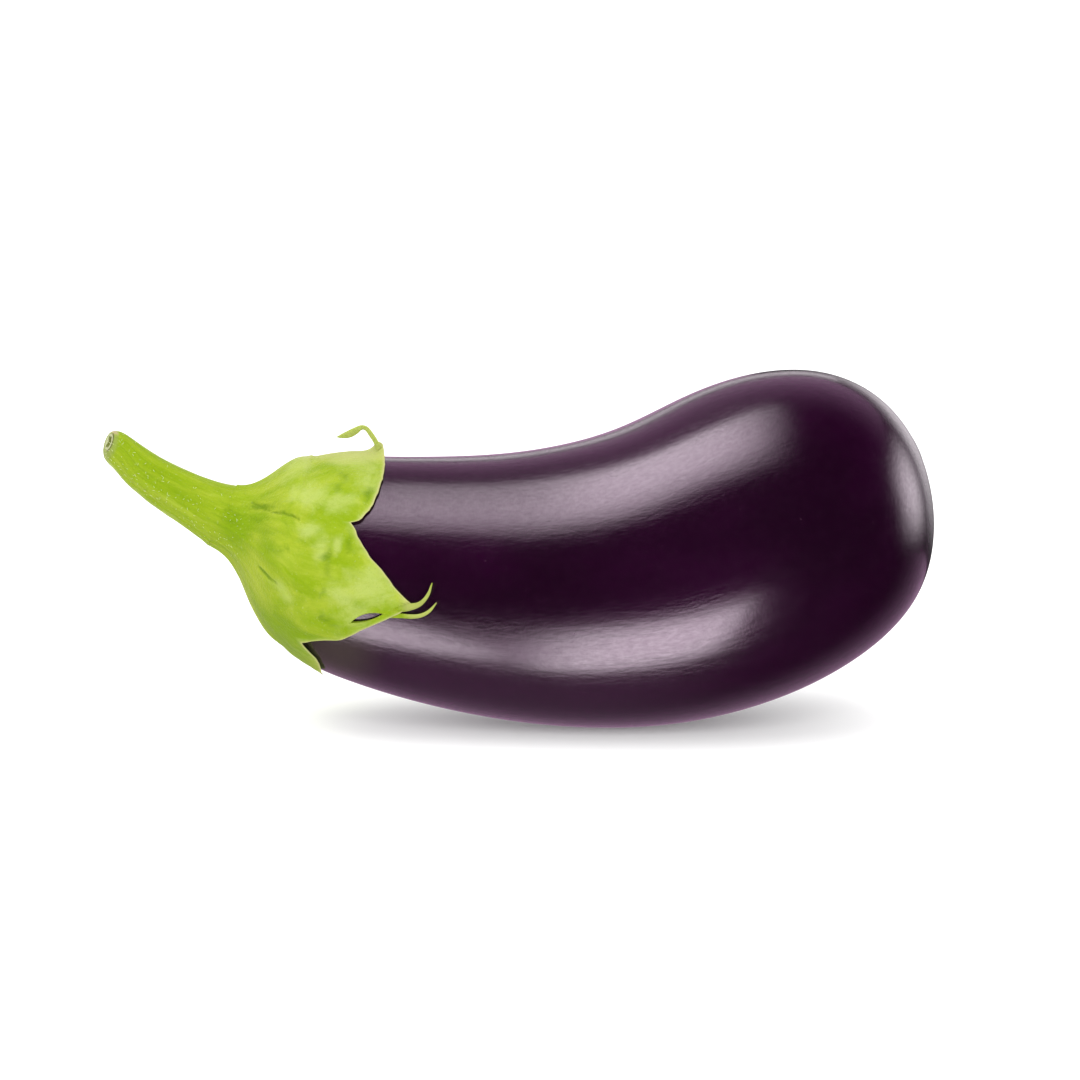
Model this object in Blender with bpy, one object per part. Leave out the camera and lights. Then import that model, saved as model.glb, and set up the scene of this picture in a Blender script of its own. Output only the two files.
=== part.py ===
"""An eggplant as picked: a bent fruit that lies on its belly, the green calyx that grips
its shoulder, and the cut stem that it hung from.

Metres, +Z up. X runs from the stem to the blossom end, and Y goes away from the side that
shows best. The origin is on the small flat spot that the fruit rests on.

Two centre lines carry everything. The spine runs through the fruit, from the pole under the
calyx to the blossom end. The stalk line runs from the cut end of the stem into the spine.
An angle round either line is 0 towards -Y, 90 towards the top."""

import math

import bmesh
import bpy
import numpy as np
from mathutils import Vector
from mathutils.geometry import interpolate_bezier

MM = 0.001
GAP = 0.3 * MM  # between pieces that touch
SHARP = 50  # degrees: edges that turn further than this stay crisp

# Fruit. A Bezier curve in the X-Z plane is its spine.
SPINE = ((-98, 51.9), (20, 19.2), (42, 57.2), (87.4, 77.6))
SPINE_SWAY = 5 * MM  # how far the blossom end turns away towards +Y
SPINE_LEAN, LEAN_LENGTH = 10, 40 * MM  # degrees that the first rings stand more upright
BASE_RADIUS = 26.1 * MM
RADIUS_GAIN = 0.189  # added radius for each metre along the spine
RADIUS_FADE = 0.4  # how that gain falls off, per metre squared
SHOULDER_LENGTH, SHOULDER_FULLNESS = 31 * MM, 2.8
END_LENGTH, END_FULLNESS = 86 * MM, 3.4
FRUIT_RINGS, FRUIT_SIDES = 40, 48

# Stem and calyx. The stalk line is a Bezier curve that ends on the spine.
STALK = ((-143.5, 88.3), (-135, 67.5), (-88.4, 52.6))
STALK_END = 13.9 * MM  # where it meets the spine, measured along the spine
JUNCTION = 47.4 * MM  # where the stem ends and the calyx begins, along the stalk line
STEM_GIRTH = ((0, 2.9), (20, 6.6), (37, 6), (47.4, 9.3))  # along the stalk line, radius
BELL_GIRTH = ((47.4, 9.3), (58.5, 10), (61, 24.6))  # and then out to the fruit
BELL_TURN = 0.7  # how soon along the bell its rings turn to the spine's slope
STEM_RINGS, STEM_SIDES = 16, 32
CUT_PLACE = (-138, 0, 79.8)  # the middle of the knife's cut, which crosses the stem askew
CUT_HEADING = (0.86, 0.33, -0.38)  # from the cut into the stem
CUT_RADIUS, CUT_ROUNDING = 4.7 * MM, 1.6 * MM
NEAR_CUT = 17 * MM  # the last ring before the cut, along the stalk line

SKIN = 1.1 * MM  # thickness of the calyx over the fruit
EDGE_SKIN = 0.5 * MM  # and at its edges
CALYX_ROWS, INNER_ROWS = 16, 14
SIDE_COLUMNS = 8  # columns along each side of a lobe

# Each lobe's outline as (angle, reach along the spine in mm): the notch before it, the bend
# of its first side, its tip, and the bend of its second side. The next lobe's notch closes it.
LOBES = (
    ((-42, 20), (-22, 33), (-4, 47.5), (7, 36.5)),
    ((32, 25), (58, 35), (94, 30.5), (113, 34)),
    ((128, 23), (142, 31), (158, 44), (174, 33)),
    ((196, 22), (208, 29), (228, 40), (240, 31)),
    ((256, 20), (270, 22), (288, 27.5), (304, 25)),
)
# Strands that end the lobes, as (angle, reach, lift off the fruit in mm) along each.
FORK_UPPER = ((-4, 44, 1.1), (-2, 47.5, 1.2), (2, 49.8, 1.4), (9, 51.3, 1.8))
FORK_LOWER = ((-6.5, 43, 1.1), (-8, 47, 1.2), (-5, 50, 1.4), (0.5, 52.8, 1.8))
CURL = ((93, 26, 1.6), (93, 30, 1.7), (93, 30, 5), (95, 27, 9.6), (97, 22, 6), (99, 19, 5.6))
FORK_RADIUS, CURL_RADIUS = 0.75 * MM, 1.2 * MM
STRAND_TIP = 0.35  # a strand's radius at its tip, as a share
# A lens-shaped slit in the front lobe: its left end, top, right end and bottom.
SLIT = ((-19.3, 30.2), (-11, 34), (-9.5, 39), (-15.5, 35))
SLIT_FROM, SLIT_TO = -1 * MM, 4 * MM  # the cutter's ends, from under the shell to over it
SLIT_STEPS = 9  # along each of its two sides


def dome(share, fullness):
    """0 at a pole, rising at once and levelling at 1: the outline of a rounded end."""
    return math.sqrt(max(0.0, 1 - (1 - min(share, 1.0)) ** fullness))


def bezier(corners, count=241):
    """Points along a Bezier curve, with the length passed at each, in metres."""
    corners = [Vector((*corner, 0)) * MM for corner in corners]
    first, out, back, last = corners
    points = interpolate_bezier(first, out, back, last, count)
    steps = [(b - a).length for a, b in zip(points, points[1:])]
    return np.array(points), np.concatenate(([0.0], np.cumsum(steps)))


class Line:
    """A smooth centre line: its place and frame at any length along it."""

    def __init__(self, corners, sway=0.0, lean=0.0):
        flat, self.lengths = bezier(corners)
        self.length = float(self.lengths[-1])
        turn = sway * (self.lengths / self.length) ** 3
        self.points = np.stack([flat[:, 0], turn, flat[:, 1]], axis=1)
        across, away, up = np.gradient(self.points, axis=0).T
        lean = math.radians(lean) * np.clip(1 - self.lengths / LEAN_LENGTH, 0, 1) ** 2
        self.headings = np.stack([
            across * np.cos(lean) - up * np.sin(lean), away, across * np.sin(lean) + up * np.cos(lean)
        ], axis=1)

    def at(self, length):
        place, heading = (
            Vector([np.interp(length, self.lengths, values[:, axis]) for axis in range(3)])
            for values in (self.points, self.headings)
        )
        return frame_at(place, heading.normalized())

    def ring(self, length, radius, sides):
        return ring_round(self.at(length), radius, sides)


def frame_at(place, heading):
    """A place with the side and up directions of a ring that a line crosses squarely."""
    side = heading.cross(Vector((0, 0, 1))).normalized()
    return place, side, side.cross(heading)


def round_point(frame, radius, angle):
    """The point at this radius and angle round a frame's place."""
    place, side, up = frame
    turn = math.radians(angle)
    return place + side * (radius * math.cos(turn)) + up * (radius * math.sin(turn))


def ring_round(frame, radius, sides):
    return [round_point(frame, radius, 360 * side / sides) for side in range(sides)]


def spine_radius(length):
    whole = BASE_RADIUS + RADIUS_GAIN * length - RADIUS_FADE * length**2
    shoulder = dome(max(length, 0) / SHOULDER_LENGTH, SHOULDER_FULLNESS)
    end = dome(max(spine.length - length, 0) / END_LENGTH, END_FULLNESS)
    return whole * shoulder * end


def profile_radius(corners, length):
    """A turned profile's radius, where the profile is a Bezier curve of length and radius."""
    points, _ = bezier(corners)
    return float(np.interp(length, points[:, 0], points[:, 1]))


def on_fruit(angle, reach, lift):
    """A point over the fruit's skin, lifted off it along the skin's own slope."""
    step = 0.5 * MM
    slope = (spine_radius(reach + step) - spine_radius(reach - step)) / (2 * step)
    square = math.hypot(1, slope)
    frame = spine.at(reach)
    skin = round_point(frame, spine_radius(reach), angle)
    outward = (skin - frame[0]).normalized()
    forward = frame[2].cross(frame[1])
    return skin + (outward - forward * slope) * (lift / square)


def material(name, colour, roughness):
    made = bpy.data.materials.new(name)
    made.use_nodes = True
    shader = made.node_tree.nodes["Principled BSDF"]
    shader.inputs["Base Color"].default_value = (*colour, 1)
    shader.inputs["Roughness"].default_value = roughness
    shader.inputs["Metallic"].default_value = 0
    made.diffuse_color = (*colour, 1)
    return made


def loft(name, rings, finish):
    """One closed skin: the first ring is extruded through the others and both ends are capped."""
    mesh = bmesh.new()
    loop = [mesh.verts.new(point) for point in rings[0]]
    first = mesh.faces.new(loop)
    edges = list(first.edges)
    for ring in rings[1:]:
        made = bmesh.ops.extrude_edge_only(mesh, edges=edges)["geom"]
        fresh = {item for item in made if isinstance(item, bmesh.types.BMVert)}
        edges = [item for item in made if isinstance(item, bmesh.types.BMEdge)]
        loop = [
            next(far for far in (edge.other_vert(near) for edge in near.link_edges) if far in fresh)
            for near in loop
        ]
        edges = [edge for edge in edges if all(end in fresh for end in edge.verts)]
        for vertex, point in zip(loop, ring):
            vertex.co = point
    mesh.faces.new(loop)
    bmesh.ops.recalc_face_normals(mesh, faces=mesh.faces)
    return to_object(name, mesh, finish)


def to_object(name, mesh, finish):
    data = bpy.data.meshes.new(name)
    mesh.to_mesh(data)
    mesh.free()
    shade(data)
    data.materials.append(finish)
    made = bpy.data.objects.new(name, data)
    bpy.context.collection.objects.link(made)
    return made


def shade(data):
    data.shade_smooth()
    data.set_sharp_from_angle(angle=math.radians(SHARP))


def boolean(body, tool, operation):
    cut = body.modifiers.new(tool.name, "BOOLEAN")
    cut.operation = operation
    cut.object = tool
    tool.hide_render = True
    tool.display_type = "WIRE"


def make_fruit(finish):
    """Rings from pole to pole, closest at the ends, then the flat spot cut at the ground."""
    rings = []
    for ring in range(1, FRUIT_RINGS):
        length = spine.length * (1 - math.cos(math.pi * ring / FRUIT_RINGS)) / 2
        rings.append(spine.ring(length, spine_radius(length), FRUIT_SIDES))
    fruit = loft("fruit", rings, finish)
    mesh = bmesh.new()
    mesh.from_mesh(fruit.data)
    ends = [face for face in mesh.faces if len(face.verts) == FRUIT_SIDES]
    for end, length in zip(sorted(ends, key=lambda face: face.calc_center_median().x), (0, spine.length)):
        pole = bmesh.ops.poke(mesh, faces=[end])["verts"][0]
        pole.co = spine.at(length)[0]
    bmesh.ops.bisect_plane(
        mesh, geom=[*mesh.verts, *mesh.edges, *mesh.faces], plane_co=(0, 0, 0),
        plane_no=(0, 0, 1), clear_inner=True,
    )
    bmesh.ops.holes_fill(mesh, edges=[edge for edge in mesh.edges if edge.is_boundary])
    mesh.to_mesh(fruit.data)
    mesh.free()
    shade(fruit.data)
    return fruit


def make_stem(finish):
    """From just short of the calyx to the knife's cut, whose rim is rounded."""
    rings = []
    for ring in range(STEM_RINGS + 1):
        length = JUNCTION - GAP + (NEAR_CUT - JUNCTION + GAP) * ring / STEM_RINGS
        rings.append(stalk.ring(length, profile_radius(STEM_GIRTH, length), STEM_SIDES))
    heading = Vector(CUT_HEADING).normalized()
    for turn in (0, 30, 60, 90):
        depth = CUT_ROUNDING * (1 - math.sin(math.radians(turn)))
        radius = CUT_RADIUS - CUT_ROUNDING * (1 - math.cos(math.radians(turn)))
        frame = frame_at(Vector(CUT_PLACE) * MM + heading * depth, heading)
        rings.append(ring_round(frame, radius, STEM_SIDES))
    return loft("stem", rings, finish)


def lobe_edges():
    """The calyx's outline as columns: (angle at the neck, angle at the edge, reach at the edge)."""
    columns = []
    for lobe, after in zip(LOBES, LOBES[1:] + LOBES[:1]):
        notch, first_bend, tip, second_bend = lobe
        closing = (after[0][0] + (360 if after[0][0] < notch[0] else 0), after[0][1])
        sides = ((notch, first_bend, tip), (tip, second_bend, closing))
        for half, (start, bend, end) in enumerate(sides):
            for column in range(SIDE_COLUMNS):
                share = column / SIDE_COLUMNS
                angle, reach = (
                    (1 - share) ** 2 * a + 2 * share * (1 - share) * b + share**2 * c
                    for a, b, c in zip(start, bend, end)
                )
                neck = notch[0] + (closing[0] - notch[0]) * (half + share) / 2
                columns.append((neck, angle, reach * MM))
    return columns


def calyx_point(length, angle, skin):
    """On the calyx's outer skin, this far from the junction: the bell, and then the fruit.
    The bell's rings turn from the stalk's slope to the spine's."""
    along = JUNCTION + length
    if along >= stalk.length:
        return on_fruit(angle, along - stalk.length + STALK_END, GAP + skin)
    share = (length / (stalk.length - JUNCTION)) ** BELL_TURN
    place, side, up = stalk.at(along)
    _, spine_side, spine_up = spine.at(STALK_END)
    frame = (place, side.lerp(spine_side, share), up.lerp(spine_up, share))
    brim = (stalk.length / MM, (spine_radius(STALK_END) + GAP + SKIN) / MM)
    return round_point(frame, profile_radius((*BELL_GIRTH, brim), along), angle)


def make_calyx(finish):
    """Columns from the stem to the lobes' edges, over the edge, and back under the shell."""
    columns = lobe_edges()
    over = stalk.length - JUNCTION - STALK_END  # outer length minus reach along the spine
    rings = []
    for row in range(CALYX_ROWS + 1):
        share = row / CALYX_ROWS
        skin = SKIN + (EDGE_SKIN - SKIN) * share**4
        rings.append([
            calyx_point((over + reach) * share, neck + (edge - neck) * share**2, skin)
            for neck, edge, reach in columns
        ])
    for row in range(INNER_ROWS + 1):
        share = (1 - row / INNER_ROWS) ** 2
        low = 0.02 * MM  # the last ring, close round the fruit's pole
        rings.append([
            on_fruit(neck + (edge - neck) * share**2, low + (reach - low) * share, GAP)
            for neck, edge, reach in columns
        ])
    calyx = loft("calyx", rings, finish)
    boolean(calyx, slit_cutter(), "DIFFERENCE")
    for name, route, radius in (
        ("fork_upper", FORK_UPPER, FORK_RADIUS),
        ("fork_lower", FORK_LOWER, FORK_RADIUS),
        ("curl", CURL, CURL_RADIUS),
    ):
        points = [on_fruit(angle, reach * MM, lift * MM) for angle, reach, lift in route]
        boolean(calyx, strand(name, points, radius, finish), "UNION")
    return calyx


def strand(name, route, radius, finish):
    """A tapering strand through the route's points, closed at both ends."""
    curve = bpy.data.curves.new(name, "CURVE")
    curve.dimensions = "3D"
    spline = curve.splines.new("NURBS")
    spline.points.add(len(route) - 1)
    spline.order_u = 4
    spline.use_endpoint_u = True
    spline.resolution_u = 4
    for number, (point, place) in enumerate(zip(spline.points, route)):
        point.co = (*place, 1)
        point.radius = 1 + (STRAND_TIP - 1) * number / (len(route) - 1)
    curve.bevel_depth = radius
    curve.bevel_resolution = 1
    curve.use_fill_caps = True
    guide = bpy.data.objects.new(name, curve)
    mesh = bmesh.new()
    mesh.from_mesh(guide.to_mesh())
    bpy.data.objects.remove(guide)
    bmesh.ops.remove_doubles(mesh, verts=mesh.verts, dist=0.001 * MM)
    bmesh.ops.recalc_face_normals(mesh, faces=mesh.faces)
    return to_object(name, mesh, finish)


def slit_cutter():
    """A lens-shaped plug through the front lobe."""
    left, top, right, bottom = (Vector(point) for point in SLIT)
    outline = []
    for start, bend, end in ((left, top, right), (right, bottom, left)):
        middle = 2 * bend - (start + end) / 2
        for step in range(SLIT_STEPS):
            share = step / SLIT_STEPS
            outline.append(
                (1 - share) ** 2 * start + 2 * share * (1 - share) * middle + share**2 * end
            )
    rings = [
        [on_fruit(angle, reach * MM, lift) for angle, reach in outline]
        for lift in (SLIT_FROM, SLIT_TO)
    ]
    return loft("slit", rings, None)


for old in list(bpy.data.objects):
    bpy.data.objects.remove(old)
spine = Line(SPINE, SPINE_SWAY, SPINE_LEAN)
stalk_end = spine.at(STALK_END)[0] / MM
stalk = Line((*STALK, (stalk_end.x, stalk_end.z)))
make_fruit(material("purple_skin", (0.03, 0.006, 0.03), 0.2))
make_stem(material("stem_green", (0.33, 0.50, 0.05), 0.5))
make_calyx(material("calyx_green", (0.38, 0.55, 0.06), 0.5))
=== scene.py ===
"""The looks of an eggplant: a bent, glossy purple fruit on its belly, the leathery green calyx
that grips its shoulder, and the cut stem. Metres, +Z up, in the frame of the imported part.

Two centre lines carry every piece. The spine runs through the fruit from the pole under the
calyx to the blossom end, and a "reach" is a distance along it. The stalk line runs from the cut
end of the stem into the spine. An angle round either line is 0 towards -Y, 90 towards the top.
"""

import math
import random

import bpy
import numpy as np
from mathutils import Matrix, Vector, noise
from mathutils.geometry import interpolate_bezier


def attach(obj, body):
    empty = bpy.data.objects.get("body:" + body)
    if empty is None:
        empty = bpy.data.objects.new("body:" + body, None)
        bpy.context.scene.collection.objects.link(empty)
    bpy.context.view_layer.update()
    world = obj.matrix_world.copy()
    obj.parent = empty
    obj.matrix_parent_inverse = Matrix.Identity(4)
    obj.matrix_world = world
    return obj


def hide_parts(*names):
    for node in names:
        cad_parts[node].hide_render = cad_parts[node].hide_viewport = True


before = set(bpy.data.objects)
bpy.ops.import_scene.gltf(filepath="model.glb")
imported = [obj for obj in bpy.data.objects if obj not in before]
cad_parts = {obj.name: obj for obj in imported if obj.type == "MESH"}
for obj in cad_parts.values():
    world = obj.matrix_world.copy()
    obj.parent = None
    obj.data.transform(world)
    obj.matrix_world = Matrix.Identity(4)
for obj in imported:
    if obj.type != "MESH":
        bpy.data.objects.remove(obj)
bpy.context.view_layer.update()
MM = 0.001

# The fruit's driving sizes. The spine is a Bezier curve, given by its corners (x, z) in mm, that
# sways away from the front on its way. Its first rings lean by some degrees. The radius grows
# along it and bends over with the reach's square, between two rounded ends.
SPINE = ((-98, 51.9), (20, 19.2), (42, 57.2), (87.4, 77.6))
SPINE_SWAY = 5 * MM
SPINE_LEAN, LEAN_LENGTH = 10, 40 * MM
BASE_RADIUS, RADIUS_GAIN, RADIUS_FADE = 26.1 * MM, 0.189, 0.4
SHOULDER_LENGTH, SHOULDER_FULLNESS = 31 * MM, 2.8
END_LENGTH, END_FULLNESS = 86 * MM, 3.4
FRUIT_ROWS, FRUIT_COLUMNS = 220, 144
SKIN_SWELL, SWELL_SIZE = 0.35 * MM, 22 * MM  # slow swellings of the skin
SCAR_RADIUS, SCAR_DEPTH = 3.2 * MM, 0.7 * MM  # where the blossom was
SCAR_RIM, SCAR_FLOOR = 1.6 * MM, 0.6 * MM  # the width of its raised rim, and of its flat middle
SMOOTH_BELOW = 50  # degrees between two faces, under which their edge looks smooth

# The stalk line, and the girth of stem and bell along it: (mm along the line, mm of radius).
STALK = ((-143.5, 88.3), (-135, 67.5), (-88.4, 52.6))
STALK_END = 13.9 * MM  # where it meets the spine, as a reach
JUNCTION = 47.4 * MM  # where the stem ends and the calyx begins
STEM_GIRTH = ((0, 2.9), (20, 6.6), (37, 6), (47.4, 9.3))
BELL_GIRTH = ((47.4, 9.3), (58.5, 10), (61, 24.6))
BELL_TURN = 0.7
NEAR_CUT = 21 * MM  # where the stem leaves the line for the cut
STEM_ROWS, BRIDGE_ROWS = 72, 12
SMOOTHED_ROWS, SMOOTHINGS = 6, 16  # past each end of the bridge, and how many times over

# The stem's hairs: how many, where they lie in mm past the junction, and the halves in mm of their
# lengths, width and thickness.
HAIRS, HAIRY_FROM, HAIRY_TO = 170, -38, 11
HAIR_LENGTHS, HAIR_WIDTH, HAIR_THICKNESS = (0.2, 0.55), 0.055, 0.045

# The knife's cut: the middle of its face in mm, the way into the stem, the face's radius, its
# rounded rim, and the rings of the face as (share of its radius, mm of depth).
CUT_PLACE, CUT_HEADING = (-138.4, 0, 80.2), (0.84, 0.42, -0.36)
CUT_FACE = 2.5 * MM
CUT_RIM, CUT_RIM_DEPTH, CUT_RIM_DROP = 2.6 * MM, 3.4 * MM, 1.1 * MM
FACE_RINGS = ((0.93, 0.1), (0.85, 0.0), (0.6, 0.1), (0.42, 0.45), (0.2, 0.6), (0, 0.6))

# The calyx's shell: the gap under it, its thickness inside and at the edge, and how its edge is
# ragged, swollen and lifted off the fruit.
GAP, SKIN, EDGE_SKIN = 0.3 * MM, 1.1 * MM, 0.45 * MM
EDGE_THINS = 7 * MM  # how far inside the edge it starts to thin
EDGE_RAGGED, EDGE_SWELL = 0.35 * MM, 0.2 * MM
EDGE_LIFT, EDGE_LIFT_FADE = 0.5 * MM, 3.5 * MM
EDGE_PALE = 0.35 * MM  # how wide the pale rim is
FLAP_ANGLE = 94  # where the edge stands up as a small flap
SHOULDER_SCALE = (0.49, 1)  # mm for a degree round the shoulder, and for a mm of reach
UNDER_POLE = 0.02 * MM  # the reach at which the underside closes
OUTER_ROWS, INNER_ROWS = 110, 36
SIDE_COLUMNS = 32  # along each side of a lobe

# The outline, lobe after lobe, as (angle, reach in mm) from a notch to the tip, and back down
# to the next lobe's notch.
LOBES = (
    (((-164, 22), (-156, 28), (-145, 33), (-132, 40)), ((-124, 33), (-115, 25))),
    (((-104, 20), (-93, 21), (-81, 23), (-72, 25.8)),
     ((-63, 25.2), (-57, 24.6), (-52, 23.4), (-47, 21.2))),
    (((-41.5, 19), (-34.5, 23.4), (-30.6, 28), (-26, 31), (-19.5, 34.5), (-14.6, 37.8), (-10.4, 40.9),
      (-7.6, 43), (-4.6, 45), (-2.6, 47)),
     ((0.3, 44), (5, 40.4), (11, 36.8), (15.5, 33.4), (19.5, 31.1), (23.5, 29.2))),
    (((31.5, 26), (33.5, 28), (39, 29.8), (44.5, 31), (56.5, 31.8), (68, 32), (79.5, 31.5),
      (90, 30.8)),
     ((98, 28.6), (108, 28.4), (120, 27))),
    (((128, 23), (136, 28), (146, 35), (158, 44)), ((166, 37), (176, 31), (188, 25))),
)

# Where the calyx is fuller or flatter, as (angle, spread, reach, fade behind, fade ahead, mm).
FULLNESS = (
    (80, 36, 0, 9, 7.5, 2.4),
    (-59, 22, -5, 5, 5, -0.9),
    (-67, 15, 17, 7, 6, -1.0),
    (98, 26, 9.2, 2.2, 1.4, -0.45),
    (98, 26, 12.2, 1.6, 2.6, 0.32),
)

# Sunken creases, each as its stops (angle, reach in mm) and its depth in mm, which also sets how
# dark their painted shade is, and their width.
CREASE_WIDTH = 0.6
CREASES = (
    (((44, -4), (35, 0), (31.5, 3), (30.5, 9), (30, 12)), 0.45),
    (((-15.5, 3.6), (-15.4, 6), (-15.3, 8.3)), 0.5),
    (((-15.3, 8.3), (-15.2, 12), (-15, 17), (-20, 22)), 0.18),
)

# Blotches on the calyx, as (angle, reach in mm, width round, width along, which tint, strength):
# tint 0 is dark green, 1 pale green and 2 deep green. They are partly the calyx's own mottling and
# partly painted light and shade: pale patches are painted light on the shoulder's top and along the
# stem's upper and lower edges, and deep patches are painted shade on the bell's lower side.
BLOTCHES_AND_PAINTED_LIGHT = (
    (11, 22.2, 8.5, 1.8, 0, 0.62), (5, 22.6, 5, 2.4, 0, 0.5), (-6, 22.6, 7, 1.2, 0, 0.55),
    (-20, 24.5, 3, 3, 0, 0.55), (47, 29.2, 6, 2, 0, 0.75), (60, 22.5, 5, 2.4, 0, 0.6),
    (51, 21.4, 5, 2.2, 0, 0.55), (20, 26.6, 6, 1.4, 0, 0.65), (31, 7, 2.2, 6, 0, 0.8),
    (36, -0.5, 6, 5, 0, 0.7), (-15.4, 6, 1.6, 3.2, 0, 0.9), (7, -8, 9, 6, 0, 0.4),
    (24, -6, 5, 8, 0, 0.45), (9, 10, 4, 5, 0, 0.4), (12, 29, 6, 1.2, 0, 0.4),
    (62, 28, 18, 6, 1, 0.7), (42, 23, 9, 6, 1, 0.75), (25, 15.5, 6, 4.5, 1, 0.9),
    (17, 20, 9, 2.6, 1, 0.8), (19, 24, 7, 1.6, 1, 0.9), (-5, 27, 9, 5, 1, 0.85),
    (2, 35, 11, 8, 1, 0.95), (-12, 32, 8, 6, 1, 0.85), (-15, 11, 7, 6, 1, 0.7),
    (76, 24, 16, 8, 1, 0.75), (48, 13, 14, 8, 1, 0.8), (75, 8, 26, 10, 1, 0.75),
    (5, -6, 38, 6, 2, 0.9), (-39, 15, 11, 8, 2, 1.0), (-55, 12, 20, 12, 2, 0.85),
    (4, 4, 10, 5, 2, 0.6), (25, -2, 12, 6, 2, 0.7), (-36, 21, 7, 6, 2, 0.8),
    (10, -28, 34, 18, 2, 0.45), (96, -32, 20, 22, 1, 0.75), (-84, -30, 26, 20, 1, 0.9),
)


def dome(share, fullness):
    """0 at a pole, rising at once and levelling at 1: the outline of a rounded end."""
    return np.sqrt(np.maximum(0, 1 - (1 - np.clip(share, 0, 1)) ** fullness))


def smooth(value, low, high):
    """0 below low, 1 above high, and an even turn between them; the other way round where low
    is the greater."""
    share = np.clip((np.asarray(value, float) - low) / (high - low), 0, 1)
    return share * share * (3 - 2 * share)


def bump(value, middle, width):
    """1 in the middle, and falling off evenly over this width to either side."""
    return np.exp(-(((np.asarray(value, float) - middle) / width) ** 2))


def unit(vectors):
    return vectors / np.linalg.norm(vectors, axis=-1, keepdims=True)


def bezier(corners, count=241):
    """Points along a Bezier curve, with the length passed at each, in metres."""
    first, out, back, last = (Vector((*corner, 0)) * MM for corner in corners)
    points = np.array(interpolate_bezier(first, out, back, last, count))
    steps = np.linalg.norm(np.diff(points, axis=0), axis=1)
    return points, np.concatenate(([0.0], np.cumsum(steps)))


def through(points, count):
    """A smooth curve through points of any size, with even steps along it."""
    points = np.asarray(points, float)
    ends = np.concatenate(([2 * points[0] - points[1]], points, [2 * points[-1] - points[-2]]))
    share = np.linspace(0, 1, 24, endpoint=False)[:, None]
    run = []
    for before, start, end, after in zip(ends, ends[1:], ends[2:], ends[3:]):
        run.append(0.5 * (
            2 * start + (end - before) * share
            + (2 * before - 5 * start + 4 * end - after) * share**2
            + (3 * start - before - 3 * end + after) * share**3
        ))
    run = np.concatenate([*run, points[-1:]])
    passed = np.concatenate(([0], np.cumsum(np.linalg.norm(np.diff(run, axis=0), axis=1))))
    steps = np.linspace(0, passed[-1], count)
    return np.stack([np.interp(steps, passed, run[:, axis]) for axis in range(run.shape[1])], axis=1)


class Line:
    """A smooth centre line: places and frames at any lengths along it. Sway is how far back its
    end stands, and lean how many degrees its first rings lean."""

    def __init__(self, corners, sway=0.0, lean=0.0):
        flat, self.lengths = bezier(corners)
        self.length = self.lengths[-1]
        turn = sway * (self.lengths / self.length) ** 3
        self.points = np.stack([flat[:, 0], turn, flat[:, 1]], axis=1)
        across, away, up = np.gradient(self.points, axis=0).T
        lean = math.radians(lean) * np.clip(1 - self.lengths / LEAN_LENGTH, 0, 1) ** 2
        self.headings = np.stack([
            across * np.cos(lean) - up * np.sin(lean), away, across * np.sin(lean) + up * np.cos(lean)
        ], axis=1)

    def at(self, length):
        place, heading = (
            np.stack([np.interp(length, self.lengths, values[:, axis]) for axis in range(3)], axis=-1)
            for values in (self.points, self.headings)
        )
        return frame_at(place, heading)


def frame_at(place, heading):
    """A place with the side and up directions of a ring that a line crosses squarely."""
    heading = unit(np.asarray(heading, float))
    side = unit(np.cross(heading, (0, 0, 1)))
    return np.asarray(place, float), side, np.cross(side, heading)


spine = Line(SPINE, SPINE_SWAY, SPINE_LEAN)
stalk_end = spine.at(np.array(STALK_END))[0] / MM
stalk = Line((*STALK, (stalk_end[0], stalk_end[2])))
CALYX_START = stalk.length - JUNCTION - STALK_END  # what the calyx runs before reach 0


def round_point(place, side, up, radius, angle):
    """A point on a ring of this radius."""
    turn = np.radians(angle)[..., None]
    radius = np.asarray(radius, float)[..., None]
    return place + radius * (side * np.cos(turn) + up * np.sin(turn))


def spine_radius(reach):
    whole = BASE_RADIUS + RADIUS_GAIN * reach - RADIUS_FADE * reach**2
    shoulder = dome(reach / SHOULDER_LENGTH, SHOULDER_FULLNESS)
    return whole * shoulder * dome((spine.length - reach) / END_LENGTH, END_FULLNESS)


def profile_radius(corners, length):
    """The radius of stem or bell at this length along the stalk line."""
    points, _ = bezier(corners)
    return np.interp(length, points[:, 0], points[:, 1])


def on_fruit(angle, reach, lift):
    """Points over the fruit's skin, lifted off it along the skin's own slope."""
    angle, reach, lift = np.broadcast_arrays(*(np.asarray(v, float) for v in (angle, reach, lift)))
    step = 0.5 * MM
    slope = (spine_radius(reach + step) - spine_radius(reach - step)) / (2 * step)
    place, side, up = spine.at(reach)
    skin = round_point(place, side, up, spine_radius(reach), angle)
    outward = unit(round_point(0, side, up, np.ones_like(reach), angle))
    forward = np.cross(up, side)
    return skin + (outward - forward * slope[..., None]) * (lift / np.hypot(1, slope))[..., None]


def grain(points, size):
    """Smooth random values from -1 to 1 at these points; size is that of a patch."""
    flat = np.asarray(points, float).reshape(-1, 3) / size
    return np.array([noise.noise(Vector(point)) for point in flat]).reshape(points.shape[:-1])


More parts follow.
